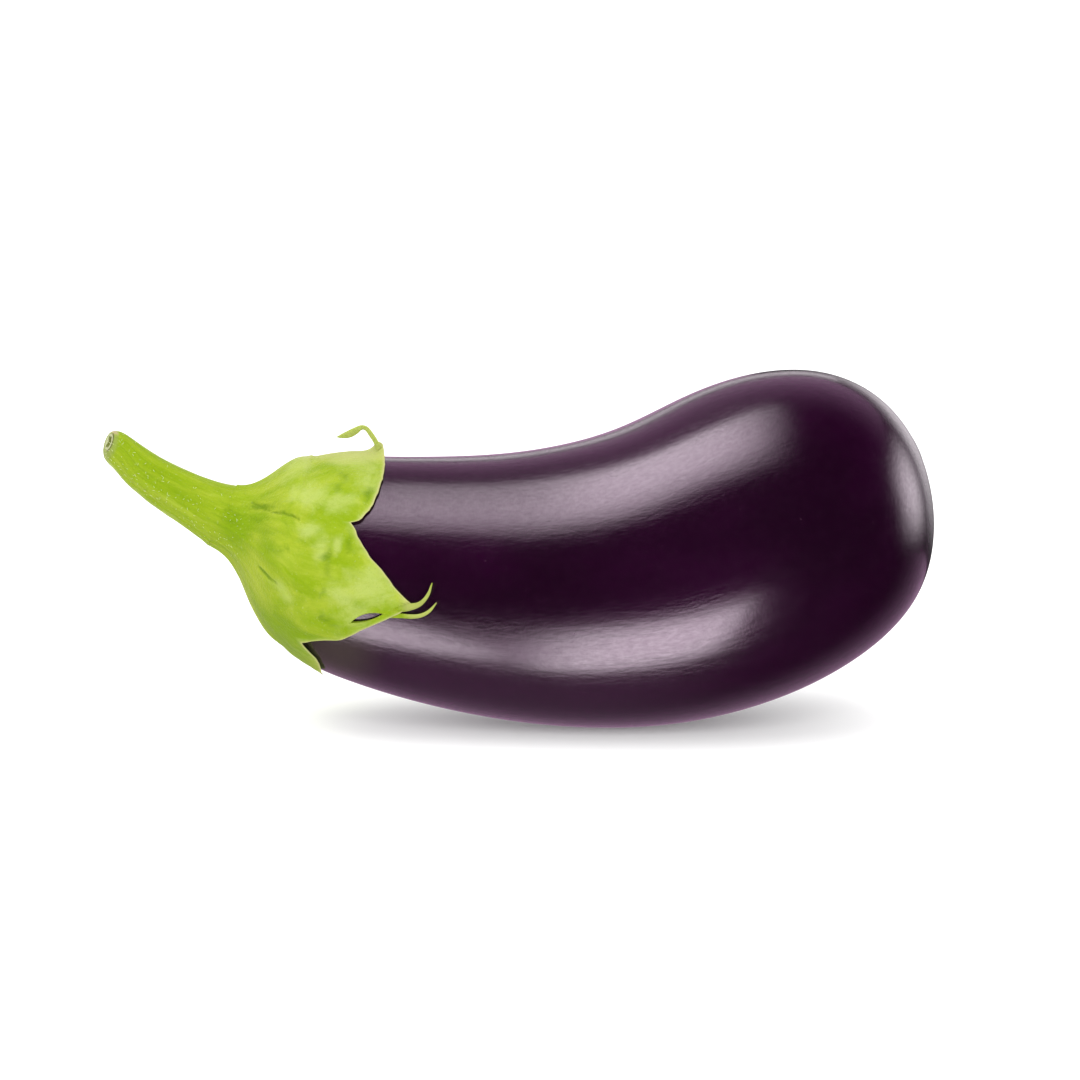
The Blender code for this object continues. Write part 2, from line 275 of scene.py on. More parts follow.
def wrap(name, points, **paint):
    """A flat grid rolled up: points[row, column] are its places, and what meets is merged, so
    the long seam closes and a row at one point is a pole. Paint is values to keep at each."""
    rows, columns = points.shape[:2]
    bpy.ops.object.select_all(action="DESELECT")
    bpy.ops.mesh.primitive_grid_add(x_subdivisions=columns - 1, y_subdivisions=rows - 1)
    made = bpy.context.object
    made.name = made.data.name = name
    made.data.vertices.foreach_set("co", points.reshape(-1))
    for label, values in paint.items():
        kind, slot = ("FLOAT_VECTOR", "vector") if values.ndim == 3 else ("FLOAT", "value")
        attribute = made.data.attributes.new(label, kind, "POINT")
        attribute.data.foreach_set(slot, np.ascontiguousarray(values, np.float32).reshape(-1))
    edit(made)
    bpy.ops.mesh.select_all(action="SELECT")
    bpy.ops.mesh.remove_doubles(threshold=0.001 * MM)
    bpy.ops.mesh.normals_make_consistent(inside=False)
    bpy.ops.object.mode_set(mode="OBJECT")
    return made


def select_only(piece):
    bpy.ops.object.select_all(action="DESELECT")
    piece.select_set(True)
    bpy.context.view_layer.objects.active = piece


def edit(piece):
    """Edit mode on this piece alone."""
    select_only(piece)
    bpy.ops.object.mode_set(mode="EDIT")


def round_off(piece):
    select_only(piece)
    bpy.ops.object.shade_smooth_by_angle(angle=math.radians(SMOOTH_BELOW))


def boolean(piece, tool, operation):
    cut = piece.modifiers.new(tool.name, "BOOLEAN")
    cut.operation = operation
    cut.object = tool
    bpy.context.view_layer.objects.active = piece
    bpy.ops.object.modifier_apply(modifier=cut.name)
    bpy.data.objects.remove(tool)


def finish_piece(piece, finish, node=None):
    piece.data.materials.clear()
    piece.data.materials.append(finish)
    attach(piece, "root")
    if node:
        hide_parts(node)


class Socket:
    """A shader value that takes part in plain arithmetic."""

    def __init__(self, nodes, socket):
        self.nodes, self.socket = nodes, socket

    def maths(self, operation, *values):
        return self.nodes.node("Math", {"operation": operation}, dict(enumerate(values)))

    def __add__(self, other):
        return self.maths("ADD", self, other)

    def __sub__(self, other):
        return self.maths("SUBTRACT", self, other)

    def __rsub__(self, other):
        return self.maths("SUBTRACT", other, self)

    def __mul__(self, other):
        return self.maths("MULTIPLY", self, other)

    def __abs__(self):
        return self.maths("ABSOLUTE", self)

    __radd__, __rmul__ = __add__, __mul__


class Nodes:
    """A node tree in the making: any node comes from node(), and plain sums from Socket."""

    def __init__(self, tree):
        self.tree = tree

    def plug(self, value, socket):
        if isinstance(value, Socket):
            self.tree.links.new(value.socket, socket)
        else:
            socket.default_value = value

    def node(self, kind, settings=None, sockets=None, out=0):
        node = self.tree.nodes.new("ShaderNode" + kind)
        for name, value in (settings or {}).items():
            setattr(node, name, value)
        for name, value in (sockets or {}).items():
            self.plug(value, node.inputs[name])
        return Socket(self, node.outputs[out])

    def mask(self, value, low, high, start=0, end=1):
        """Start where the value is low, end where it is high, with an even turn between."""
        return self.node("MapRange", {"interpolation_type": "SMOOTHSTEP"}, {
            "Value": value, "From Min": low, "From Max": high, "To Min": start, "To Max": end
        })

    def blend(self, share, first, second):
        """The first colour where the share is 0, and the second where it is 1."""
        first, second = (
            colour if isinstance(colour, Socket) else (*colour, 1) for colour in (first, second)
        )
        return self.node("Mix", {"data_type": "RGBA"}, {0: share, 6: first, 7: second}, out=2)

    def separate(self, vector):
        return tuple(self.node("SeparateXYZ", None, {0: vector}, out) for out in range(3))

    def apart(self, first, second):
        """The distance between two places."""
        return self.node("VectorMath", {"operation": "DISTANCE"}, {0: first, 1: second}, out=1)


class Finish(Nodes):
    """A material in the making, round one shader whose constant sockets are named at the start."""

    def __init__(self, name, **shader):
        self.made = bpy.data.materials.new(name)
        self.made.use_nodes = True
        super().__init__(self.made.node_tree)
        self.shader = self.tree.nodes["Principled BSDF"]
        self.set(**shader)

    def set(self, **values):
        """Values or sockets for the shader's own sockets, with _ for each space of a name."""
        for name, value in values.items():
            self.plug(value, self.shader.inputs[name.replace("_", " ")])

    def painted(self, name, out=2):
        """What wrap() kept on the mesh: numbers at out 2, and three at a time at out 1."""
        return self.node("Attribute", {"attribute_name": name}, out=out)

    def place(self):
        """Places in the object's own frame, in metres."""
        return self.node("TexCoord", out="Object")

    def stretched(self, vector, scale):
        return self.node("Mapping", None, {"Vector": vector, "Scale": scale})

    def speckle(self, vector, per_mm, detail=3, rough=0.5, distortion=0.0):
        """Noise with this many patches to the millimetre, from 0 to 1."""
        return self.node("TexNoise", None, {
            "Vector": vector, "Scale": per_mm / MM, "Detail": detail, "Roughness": rough,
            "Distortion": distortion,
        })

    def bump(self, height, depth, under=None):
        """Height from 0 to 1 stands this deep, in metres, over an earlier bump if any."""
        sockets = {"Height": height, "Distance": depth}
        if under:
            sockets["Normal"] = under
        return self.node("Bump", None, sockets)


# ------------------------------------------------------------------------------ the fruit


def make_fruit():
    """Rows from pole to pole, closest at the ends, with the flat spot cut at the ground."""
    share = np.linspace(0, 1, FRUIT_ROWS)
    reach = spine.length * (1 - np.cos(math.pi * share)) / 2
    angle = np.linspace(-180, 180, FRUIT_COLUMNS + 1)
    reach, angle = np.meshgrid(reach, angle, indexing="ij")
    place, side, up = spine.at(reach)
    radius = spine_radius(reach)
    radius[[0, -1]] = 0
    turn = np.radians(angle)
    straight = np.stack([reach, radius * np.cos(turn), radius * np.sin(turn)], axis=2)
    swell = SKIN_SWELL * grain(straight * (0.5, 1, 1), SWELL_SIZE) * smooth(radius, 0, 15 * MM)
    points = round_point(place, side, up, radius + swell, angle)
    away = np.linalg.norm(straight - (spine.length, 0, 0), axis=2)
    rim = bump(away, SCAR_RADIUS, SCAR_RIM) * 0.2 - smooth(away, SCAR_RADIUS, SCAR_FLOOR)
    points[..., 0] += SCAR_DEPTH * rim
    fruit = wrap("fruit_skin", points, straight=straight)
    edit(fruit)
    bpy.ops.mesh.select_all(action="SELECT")
    bpy.ops.mesh.bisect(plane_co=(0, 0, 0), plane_no=(0, 0, 1), clear_inner=True, use_fill=True)
    bpy.ops.object.mode_set(mode="OBJECT")
    round_off(fruit)
    finish_piece(fruit, purple_skin(), "fruit")


# The fruit's colours.
DEEP_PURPLE, WARM_PURPLE = (0.0072, 0.0002, 0.0058), (0.0125, 0.0003, 0.0102)
WORN_PURPLE, PORE, CALYX_REFLECTION_AND_GREEN_SKIN = (0.016, 0.001, 0.013), (0.09, 0.04, 0.07), (0.04, 0.04, 0.018)
DARK_CORK, PALE_CORK = (0.035, 0.015, 0.01), (0.085, 0.045, 0.022)

# How rough the skin is and how much wax lies on it at least, what the patches add to them, and
# the depths of the fine relief.
SKIN_ROUGH, SKIN_ROUGH_MORE, SCAR_ROUGH_MORE = 0.19, 0.05, 0.4
WAX, WAX_MORE = 0.36, 0.28
STREAK_DEPTH, SWELL_DEPTH, PORE_DEPTH = 0.08 * MM, 0.06 * MM, 0.035 * MM


def purple_skin():
    """Almost black purple under a broken film of wax, with the fine grain of taut skin along its
    length, greener under the calyx, where skin that the calyx kept from the light also takes a
    painted green reflection of the calyx, and a corky scar where the blossom was."""
    finish = Finish(
        "purple_skin", IOR=1.5, Specular_Tint=(1, 0.80, 0.97, 1), Coat_Roughness=0.12, Coat_IOR=1.5,
    )
    straight = finish.painted("straight", out=1)
    along = finish.stretched(straight, (0.22, 1, 1))
    half_along = finish.stretched(straight, (0.5, 1, 1))
    cloud = finish.speckle(half_along, 0.035, 4)
    streak = finish.speckle(along, 0.9, 5, 0.6)
    mottle = finish.speckle(straight, 0.35, 5, 0.65)
    pores = finish.mask(finish.speckle(straight, 1.1, 2), 0.70, 0.78)
    reach, _, height = finish.separate(straight)
    # Painted green reflection of the calyx on the skin under it, where the skin is also greener of
    # its own.
    calyx_reflection_and_green_skin = finish.mask(reach, 44 * MM, 30 * MM) * finish.mask(height, -2 * MM, -22 * MM)
    colour = finish.blend(finish.mask(cloud, 0.35, 0.7), DEEP_PURPLE, WARM_PURPLE)
    colour = finish.blend(finish.mask(mottle, 0.45, 0.75) * 0.2, colour, WORN_PURPLE)
    colour = finish.blend(pores * 0.25, colour, PORE)
    colour = finish.blend(calyx_reflection_and_green_skin * 0.5, colour, CALYX_REFLECTION_AND_GREEN_SKIN)
    from_end = finish.apart(straight, (spine.length, 0, 0))
    ragged = finish.speckle(straight, 0.7, 5, 0.7) * (5 * MM) + from_end
    scar = finish.mask(ragged, SCAR_RADIUS + 3.4 * MM, SCAR_RADIUS + 1.4 * MM)
    cork = finish.blend(finish.mask(mottle, 0.35, 0.65), DARK_CORK, PALE_CORK)
    colour = finish.blend(scar * 0.85, colour, cork)
    skin = finish.bump(streak, STREAK_DEPTH)
    skin = finish.bump(finish.speckle(along, 0.28, 3), SWELL_DEPTH, skin)
    skin = finish.bump(finish.speckle(straight, 1.8, 4), PORE_DEPTH, skin)
    rough = finish.mask(mottle, 0.3, 0.7) * SKIN_ROUGH_MORE + SKIN_ROUGH + scar * SCAR_ROUGH_MORE
    broken = finish.speckle(half_along, 1.0, 5, 0.65)
    wax = finish.mask(broken, 0.25, 0.75) * WAX_MORE + WAX
    finish.set(Base_Color=colour, Roughness=rough, Coat_Weight=wax, Normal=skin)
    return finish.made


# ------------------------------------------------------------------- the calyx and the stem


def outline_columns():
    """Columns round the green skin, each (angle at the neck, angle at the edge, reach at the
    edge, place in the lobe from -1 at a notch through 0 at the tip to 1), closed on the first."""
    columns = []
    for number, (rise, fall) in enumerate(LOBES):
        after = LOBES[(number + 1) % len(LOBES)][0][0]
        notch, tip = rise[0], rise[-1]
        closing = (after[0] + (360 if after[0] < notch[0] else 0), after[1])
        for half, side in enumerate((rise, (tip, *fall, closing))):
            run = through(np.array(side) * SHOULDER_SCALE, SIDE_COLUMNS + 1)[:-1] / SHOULDER_SCALE
            for column, (angle, reach) in enumerate(run):
                share = column / SIDE_COLUMNS
                neck = notch[0] + (closing[0] - notch[0]) * (half + share) / 2
                columns.append((neck, angle, reach * MM, half + share - 1))
    neck, edge, reach, place = columns[0]
    columns.append((neck + 360, edge + 360, reach, place))
    neck, edge, reach, place = np.array(columns).T
    turn = np.radians(edge)
    ragged = grain(np.stack([np.cos(turn), np.sin(turn), 0 * turn], axis=1), 1 / 20)
    return neck, edge, reach + EDGE_RAGGED * ragged * (1 - 0.6 * bump(place, 0, 0.3)), place


def stem_point(length, angle):
    """On the stem's skin, this far along the stalk line."""
    place, side, up = stalk.at(length)
    return round_point(place, side, up, profile_radius(STEM_GIRTH, length), angle)


def bell_point(length, angle):
    """On the bell between stem and fruit, whose rings turn from the stalk's slope to the spine's."""
    share = (np.clip((length - JUNCTION) / (stalk.length - JUNCTION), 0, 1) ** BELL_TURN)[..., None]
    place, side, up = stalk.at(length)
    _, spine_side, spine_up = spine.at(np.array(STALK_END))
    brim = (stalk.length / MM, (spine_radius(STALK_END) + GAP + SKIN) / MM)
    radius = profile_radius((*BELL_GIRTH, brim), length)
    return round_point(
        place, side + (spine_side - side) * share, up + (spine_up - up) * share, radius, angle
    )


# What stands out of the green skin or is sunk into it, in mm.
RIB, VALLEY, PUFF, MIDRIB, WRINKLE, FINE_WRINKLE = 0.16, 0.7, 0.6, 0.35, 0.30, 0.16
WRINKLE_SIZE, FINE_WRINKLE_SIZE = 3.2 * MM, 1.3 * MM
FLOW_RADIUS, FLOW_ALONG = 11 * MM, 0.33  # the skin laid out as a tube, which its streaks follow


def relief(after, neck, spot, share):
    """How far the green skin stands out, in metres: ribs, valleys between lobes, puffed lobes and
    wrinkles. With it, places on the skin laid out as a tube. After is the distance past the
    junction, spot the place in the lobe, and share how far from the junction to the edge."""
    after, neck, spot, share = np.broadcast_arrays(after, neck, spot, share)
    turn = np.radians(neck)
    flow = np.stack([
        FLOW_RADIUS * np.cos(turn), FLOW_RADIUS * np.sin(turn), after * FLOW_ALONG
    ], axis=-1)
    stem = 1 - smooth(after, -6 * MM, 14 * MM)
    ribs = RIB * np.cos(5 * turn + 0.8) * stem * smooth(after, -34 * MM, -20 * MM)
    valley = -VALLEY * np.maximum(bump(spot, -1, 0.17), bump(spot, 1, 0.17))
    valley = valley * (1 - 0.9 * bump(neck, -43, 28))
    valley = valley * smooth(after, 2 * MM, 16 * MM) * (1 - 0.75 * smooth(share, 0.75, 1))
    puff = PUFF * np.cos(spot * math.pi / 2) ** 0.8 * smooth(after, 8 * MM, 22 * MM)
    puff = puff * (1 - smooth(share, 0.6, 0.98))
    midrib = MIDRIB * bump(spot, 0, 0.1) * smooth(after, -4 * MM, 8 * MM)
    midrib = midrib * (1 - smooth(share, 0.5, 0.9))
    wrinkle = WRINKLE * grain(flow, WRINKLE_SIZE) + FINE_WRINKLE * grain(flow + 1, FINE_WRINKLE_SIZE)
    wrinkle = wrinkle * (1 - 0.7 * smooth(share, 0.85, 1)) * smooth(after, -34 * MM, -26 * MM)
    wrinkle = wrinkle * (1 - 0.8 * bump(neck, 96, 28))
    return (ribs + valley + puff + midrib + wrinkle) * MM, flow


def edge_lift(edge, reach, away):
    """How far the calyx stands off the fruit near its edge, away metres inside it."""
    wave = 0.55 + 0.45 * np.sin(np.radians(edge * 7.3)) * np.sin(np.radians(edge * 3.1 + 40))
    lift = EDGE_LIFT * wave * np.exp(-away / EDGE_LIFT_FADE)
    notch = bump(edge, -42, 6) * 1.1 + bump(edge, 31, 7) * 0.6
    lift += notch * MM * np.exp(-away / (5 * MM))
    flap = bump(edge, FLAP_ANGLE, 9) * np.exp(-away / (1.8 * MM)) * 3.2
    hook = bump(edge, -68, 6) * smooth(reach, 22 * MM, 28 * MM) * 0.9
    return lift + (flap + hook) * MM


def calyx_outside(neck, edge, reach, spot):
    """The shell's outer face, from the stem to the lobes' edges. With it: relief's places, the
    distance past the junction, the angle, the reach, and the distance to the edge."""
    full = CALYX_START + reach
    share = np.linspace(0, 1, OUTER_ROWS)[:, None]
    after = full * share
    angle = neck + (edge - neck) * share**2
    stand, flow = relief(after, neck, spot, share)
    away = full - after
    thick = EDGE_SKIN + (SKIN - EDGE_SKIN) * smooth(away, 0, EDGE_THINS)
    now = after - CALYX_START
    for middle, spread, height, behind, ahead, size in FULLNESS:
        fade = np.where(now < height * MM, behind, ahead) * MM
        stand = stand + size * MM * bump(angle, middle, spread) * bump(now, height * MM, fade)
    for stops, depth in CREASES:
        stand = stand - depth * MM * crease(angle, now, stops)
    lift = np.maximum(GAP + thick + stand, GAP + 0.5 * thick) + edge_lift(edge, now, away)
    outer = bell_point(JUNCTION + after, angle)
    centre, _, _ = stalk.at(JUNCTION + after)
    bell = outer + unit(outer - centre) * stand[..., None]
    shoulder = on_fruit(angle, np.maximum(now, 0.2 * MM), lift)
    mix = smooth(now, STALK_END - 5 * MM, STALK_END + 3 * MM)[..., None]
    return bell + (shoulder - bell) * mix, flow, after, angle, now, away


def held(values, more):
    """Rows of values, with the first kept for a row before and the last for more rows after."""
    return np.concatenate([values[:1], values, np.repeat(values[-1:], more, axis=0)])


def make_calyx():
    """Columns from the stem to the lobes' edges, over the edge, and back under the shell."""
    neck, edge, reach, spot = outline_columns()
    outer, flow, after, angle, now, away = calyx_outside(neck, edge, reach, spot)
    back = (1 - np.linspace(0, 1, INNER_ROWS)[:, None]) ** 2
    inner_reach = UNDER_POLE + (reach - UNDER_POLE) * back
    inner_angle = neck + (edge - neck) * back**2
    inner_lift = GAP + edge_lift(edge, inner_reach, reach - inner_reach)
    inner = on_fruit(inner_angle, inner_reach, inner_lift)
    swell = (outer[-1] + inner[0]) / 2 + unit(outer[-1] - outer[-3]) * EDGE_SWELL
    start = stalk.at(np.full(neck.shape, JUNCTION))[0]
    pole = np.broadcast_to(inner[-1].mean(axis=0), start.shape)
    points = np.concatenate([start[None], outer, swell[None], inner, pole[None]])
    row, under = np.ones((1, len(neck))), np.ones((len(inner) + 1, len(neck)))
    rim = np.concatenate([0 * row, np.exp(-away / EDGE_PALE), row, 0 * under])
    hidden = np.concatenate([0 * row, 0 * away, 0 * row, under])
    more = len(inner) + 2
    tint = paint_tints(angle, now, away)
    tint = np.concatenate([tint[:1], tint, np.zeros((more, len(neck), 3))])
    return wrap(
        "calyx_shell", points, flow=held(flow, more), rim=rim, past=held(after, more),
        hidden=hidden, tint=tint,
    )


def crease(angle, now, stops):
    """1 along a run of stops over the fruit, falling off within a millimetre of it."""
    scale = np.array(SHOULDER_SCALE)
    near = np.full(np.shape(angle), np.inf)
    here = np.stack([angle, now / MM], axis=-1) * scale
    for start, end in zip(stops, stops[1:]):
        start, run = np.array(start) * scale, (np.array(end) - np.array(start)) * scale
        share = np.clip(((here - start) @ run) / (run @ run), 0, 1)[..., None]
        near = np.minimum(near, np.linalg.norm(here - start - share * run, axis=-1))
    return bump(near, 0, CREASE_WIDTH)


def paint_tints(angle, now, away):
    """Three masks over the shell: dark, pale and deep green, partly its own mottling and partly
    painted light and shade.
    """
    tint = np.zeros((*angle.shape, 3))
    for middle, reach, width, length, which, strength in BLOTCHES_AND_PAINTED_LIGHT:
        patch = bump(angle, middle, width) * bump(now / MM, reach, length) * strength
        tint[..., which] = np.maximum(tint[..., which], patch)
    # Painted shade in the creases, darker the deeper they sink.
    for stops, depth in CREASES:
        tint[..., 0] = np.maximum(tint[..., 0], 1.6 * depth * crease(angle, now, stops))
    tint[..., 1] = np.maximum(tint[..., 1], 0.45 * np.exp(-away / (4 * MM)))
    flap = bump(angle, FLAP_ANGLE, 8) * np.exp(-away / (2.5 * MM))
    tint[..., 1] = np.maximum(tint[..., 1], 1.1 * flap)
    return tint


def cut_rings(neck, heading):
    """The cut's rounded rim, and its face down to the middle."""
    place, side, up = frame_at(np.array(CUT_PLACE) * MM, heading)
    rings = []
    for degrees in range(12, 91, 6):
        turn = math.radians(degrees)
        across, inward = math.cos(turn), 1 - math.sin(turn)
        here = place + heading * CUT_RIM_DEPTH * inward - up * CUT_RIM_DROP * across
        radius = CUT_FACE + CUT_RIM * across
        rings.append(round_point(here, side, up, np.full_like(neck, radius), neck))
    for share, sink in FACE_RINGS:
        here = place + heading * sink * MM
        rings.append(round_point(here, side, up, np.full_like(neck, CUT_FACE * share), neck))
    return np.array(rings)


def bridge_rows(skin, ring, heading):
    """Rows that leave the end of the stem's skin in its own way and come round to this ring."""
    share = np.linspace(0, 1, BRIDGE_ROWS + 2)[1:-1, None, None]
    far = np.linalg.norm(ring - skin[-1], axis=1)[:, None]
    leave = unit(skin[-1] - skin[-3]) * far
    arrive = (0.75 * unit(ring - skin[-1]) - 0.25 * heading) * far * 0.9
    return (
        (2 * share**3 - 3 * share**2 + 1) * skin[-1] + (share**3 - 2 * share**2 + share) * leave
        + (3 * share**2 - 2 * share**3) * ring + (share**3 - share**2) * arrive
    )


def make_stem():
    """From the calyx to the knife's cut, whose rim is rounded and whose face shows the pith."""
    neck = outline_columns()[0]
    heading = unit(np.array(CUT_HEADING))
    length = JUNCTION + (NEAR_CUT - JUNCTION) * np.linspace(0, 1, STEM_ROWS)
    length, angle = np.meshgrid(length, neck, indexing="ij")
    after = length - JUNCTION
    stand, flow = relief(after, angle, 0.5, 0)
    skin = stem_point(length, angle)
    skin = skin + unit(skin - stalk.at(length)[0]) * stand[..., None]
    rings = cut_rings(neck, heading)
    rows = np.concatenate([skin, bridge_rows(skin, rings[0], heading), rings])
    first, last = STEM_ROWS - SMOOTHED_ROWS, STEM_ROWS + BRIDGE_ROWS + SMOOTHED_ROWS
    for _ in range(SMOOTHINGS):
        beside = rows[first - 1:last - 1] + rows[first + 1:last + 1]
        rows[first:last] = (beside + 2 * rows[first:last]) / 4
    start = stalk.at(np.full(neck.shape, JUNCTION))[0]
    points = np.concatenate([start[None], rows])
    tint = paint_tints(angle, after - CALYX_START, np.ones_like(angle))
    more = len(rows) - STEM_ROWS
    place, side, up = frame_at(np.array(CUT_PLACE) * MM, heading)
    disc = (points - place) @ np.stack([side, up, heading], axis=1)
    stem = wrap(
        "stem_skin", points, flow=held(flow, more), past=held(after, more), disc=disc,
        tint=held(tint, more),
    )
    round_off(stem)
    finish_piece(stem, green_skin("stem_green", cut=True), "stem")


# The greens, and what the cut shows.
GREEN, LIGHT_GREEN = (0.170, 0.260, 0.001), (0.285, 0.345, 0.024)
PALE_STREAK, DARK_STREAK = (0.31, 0.37, 0.04), (0.125, 0.215, 0.001)
# Pale, deep and dark green are partly the calyx's own mottling and partly painted light on its top,
# painted shade under the bell and painted shade in the creases.
DEEP_AND_SHADED_GREEN, PALE_AND_LIT_GREEN = (0.142, 0.235, 0.0005), (0.325, 0.385, 0.095)
DARK_AND_SHADED_GREEN = (0.09, 0.165, 0.001)
PIMPLE_HIGHLIGHT, PIT_SHADE = (0.33, 0.40, 0.13), (0.11, 0.20, 0.003)
EDGE_GREEN, UNDER_GREEN, STRAND_GREEN = (0.38, 0.38, 0.15), (0.28, 0.33, 0.13), (0.36, 0.37, 0.12)
RIND, RIND_SHADOW, CUT_CREAM = (0.20, 0.23, 0.07), (0.09, 0.10, 0.02), (0.37, 0.39, 0.21)
PITH, TAN_STAIN = (0.11, 0.13, 0.02), (0.42, 0.31, 0.19)
HAIR_GREEN = (0.50, 0.56, 0.28)

PEBBLE_DEPTH, GREEN_STREAK_DEPTH, FLECK_DEPTH = 0.32 * MM, 0.30 * MM, 0.05 * MM

# The strands' places, so that they take their own green: where the fork is, and the height that
# only the curl reaches.
FORK_PLACE = (-49.7 * MM, -35.5 * MM, 41.2 * MM)
CURL_HEIGHT = 75 * MM


def green_skin(name, cut=False):
    """Leathery green with light and dark streaks along the growth, fine pimples with painted light
    on their tops and painted shade in the pits, pale bloom, and patches that are partly its own
    mottling and partly painted light and shade.
    """
    finish = Finish(
        name, Specular_IOR_Level=0.08, Subsurface_Weight=0.12, Subsurface_Scale=0.002,
        Subsurface_Radius=(0.6, 1.0, 0.2), Sheen_Weight=0.12, Sheen_Roughness=0.35,
        Sheen_Tint=(0.93, 1, 0.6, 1),
    )
    flow = finish.painted("flow", out=1)
    place = finish.place()
    streak = finish.speckle(finish.stretched(flow, (1, 1, 0.45)), 0.42, 4, 0.6, 0.4)
    mottle = finish.speckle(finish.stretched(flow, (1, 1, 0.6)), 0.24, 6, 0.66, 0.5)
    ragged = finish.speckle(flow, 0.6, 5, 0.65, 0.5)
    pebble = finish.speckle(place, 1.25, 3, 0.55)
    fine = finish.speckle(place, 3.5, 2, 0.6)
    grown = finish.mask(finish.painted("past"), 0, 16 * MM) * 0.55 + 0.45
    # Dark, pale and deep: partly the calyx's own mottling, partly painted shade in the creases and
    # under the bell and painted light on its top.
    dark, pale, deep = finish.separate(finish.painted("tint", out=1))
    worn = ragged * 1.6 - 0.8
    colour = finish.blend(finish.mask(mottle, 0.30, 0.66) * grown, GREEN, LIGHT_GREEN)
    for share, layer in (
        (finish.mask(streak, 0.52, 0.74) * 0.5, PALE_STREAK),
        (finish.mask(streak, 0.46, 0.26) * 0.55, DARK_STREAK),
        (finish.mask(deep + worn * 0.5, 0.15, 0.8) * 0.85, DEEP_AND_SHADED_GREEN),
        (finish.mask(pale + worn * 0.9, 0.15, 0.95) * 0.75, PALE_AND_LIT_GREEN),
        (finish.mask(dark + worn, 0.2, 0.85) * 0.85, DARK_AND_SHADED_GREEN),
        # Painted light on the pimples' tops and painted shade in the pits between them.
        (finish.mask(pebble, 0.60, 0.76) * 0.4, PIMPLE_HIGHLIGHT),
        (finish.mask(fine, 0.56, 0.72) * 0.3, PIT_SHADE),
    ):
        colour = finish.blend(share, colour, layer)
    if cut:
        colour = cut_face(finish, colour, ragged)
    else:
        colour = finish.blend(finish.painted("rim") * 0.9, colour, EDGE_GREEN)
        colour = finish.blend(finish.painted("hidden") * 0.8, colour, UNDER_GREEN)
        _, _, height = finish.separate(place)
        curl = finish.mask(height, CURL_HEIGHT, CURL_HEIGHT + 2 * MM)
        fork = finish.mask(finish.apart(place, FORK_PLACE), 7.5 * MM, 4.5 * MM)
        colour = finish.blend((curl + fork) * 0.6, colour, STRAND_GREEN)
    skin = finish.bump(pebble, PEBBLE_DEPTH)
    skin = finish.bump(streak, GREEN_STREAK_DEPTH, skin)
    skin = finish.bump(fine, FLECK_DEPTH, skin)
    finish.set(Base_Color=colour, Roughness=pebble * 0.15 + 0.42, Normal=skin)
    return finish.made


def cut_face(finish, colour, ragged):
    """The knife's cut: grey-green rind, darker at one side, a cream ring round a dull pith slit,
    and a tan stain at the top. Across, rise and depth are places on the cut, from its middle."""
    across, rise, depth = finish.separate(finish.painted("disc", out=1))
    flat = finish.node("CombineXYZ", None, {"X": across, "Y": rise})
    out = finish.apart(flat, (0, 0, 0)) + (ragged - 0.5) * (0.8 * MM)
    colour = finish.blend(finish.mask(depth, 1.6 * MM, 0.3 * MM) * 0.6, colour, RIND)
    near = finish.mask(depth, 1.6 * MM, 1.1 * MM)
    side = finish.mask(out, 3.2 * MM, 2.8 * MM) * finish.mask(across, 0.3 * MM, 1.6 * MM)
    colour = finish.blend(side * near, colour, RIND_SHADOW)
    ring = finish.mask(out, 2.6 * MM, 2.3 * MM) * finish.mask(depth, 1.2 * MM, 0.8 * MM)
    colour = finish.blend(ring, colour, CUT_CREAM)
    slit = finish.mask(abs(across), 1.4 * MM, 0.9 * MM) * finish.mask(abs(rise), 1.9 * MM, 1.3 * MM)
    colour = finish.blend(slit * near, colour, PITH)
    stain = finish.mask(rise, 2.3 * MM, 3.1 * MM) * finish.mask(depth, 1.5 * MM, 0.7 * MM)
    return finish.blend(stain * 0.65, colour, TAN_STAIN)


def make_hairs():
    """The stem's fine pale hairs: flecks lying every way on its skin and on the bell's neck."""
    dice = random.Random(11)
    hairs = []
    for _ in range(HAIRS):
        length = np.array(JUNCTION + dice.uniform(HAIRY_FROM, HAIRY_TO) * MM)
        angles = dice.gauss(-5, 28), dice.gauss(-25, 22), dice.uniform(-180, 180)
        angle = np.array(dice.choice(angles))
        skin, ahead = bell_or_stem(length, angle), bell_or_stem(length + 0.1 * MM, angle)
        out = unit(skin - stalk.at(length)[0])
        along, across = unit(ahead - skin), unit(np.cross(out, ahead - skin))
        turn = math.radians(dice.uniform(0, 180))
        heading = Vector(along * math.cos(turn) + across * math.sin(turn) + 0.25 * out)
        bpy.ops.mesh.primitive_ico_sphere_add(subdivisions=1, radius=1)
        hair = bpy.context.object
        hair.location = Vector(skin + out * 0.15 * MM)
        hair.rotation_euler = heading.to_track_quat("X", "Z").to_euler()
        hair.scale = (dice.uniform(*HAIR_LENGTHS) * MM, HAIR_WIDTH * MM, HAIR_THICKNESS * MM)
        hairs.append(hair)
    bpy.ops.object.select_all(action="DESELECT")
    for hair in hairs:
        hair.select_set(True)
    bpy.ops.object.join()
    bpy.ops.object.transform_apply(location=True, rotation=True, scale=True)
    joined = bpy.context.object
    joined.name = joined.data.name = "stem_hairs"
    finish = Finish("stem_hair", Base_Color=(*HAIR_GREEN, 1), Roughness=0.5)
    finish_piece(joined, finish.made)


def bell_or_stem(length, angle):
    """On the green skin, at either side of the junction."""
    return stem_point(length, angle) if length < JUNCTION else bell_point(length, angle)


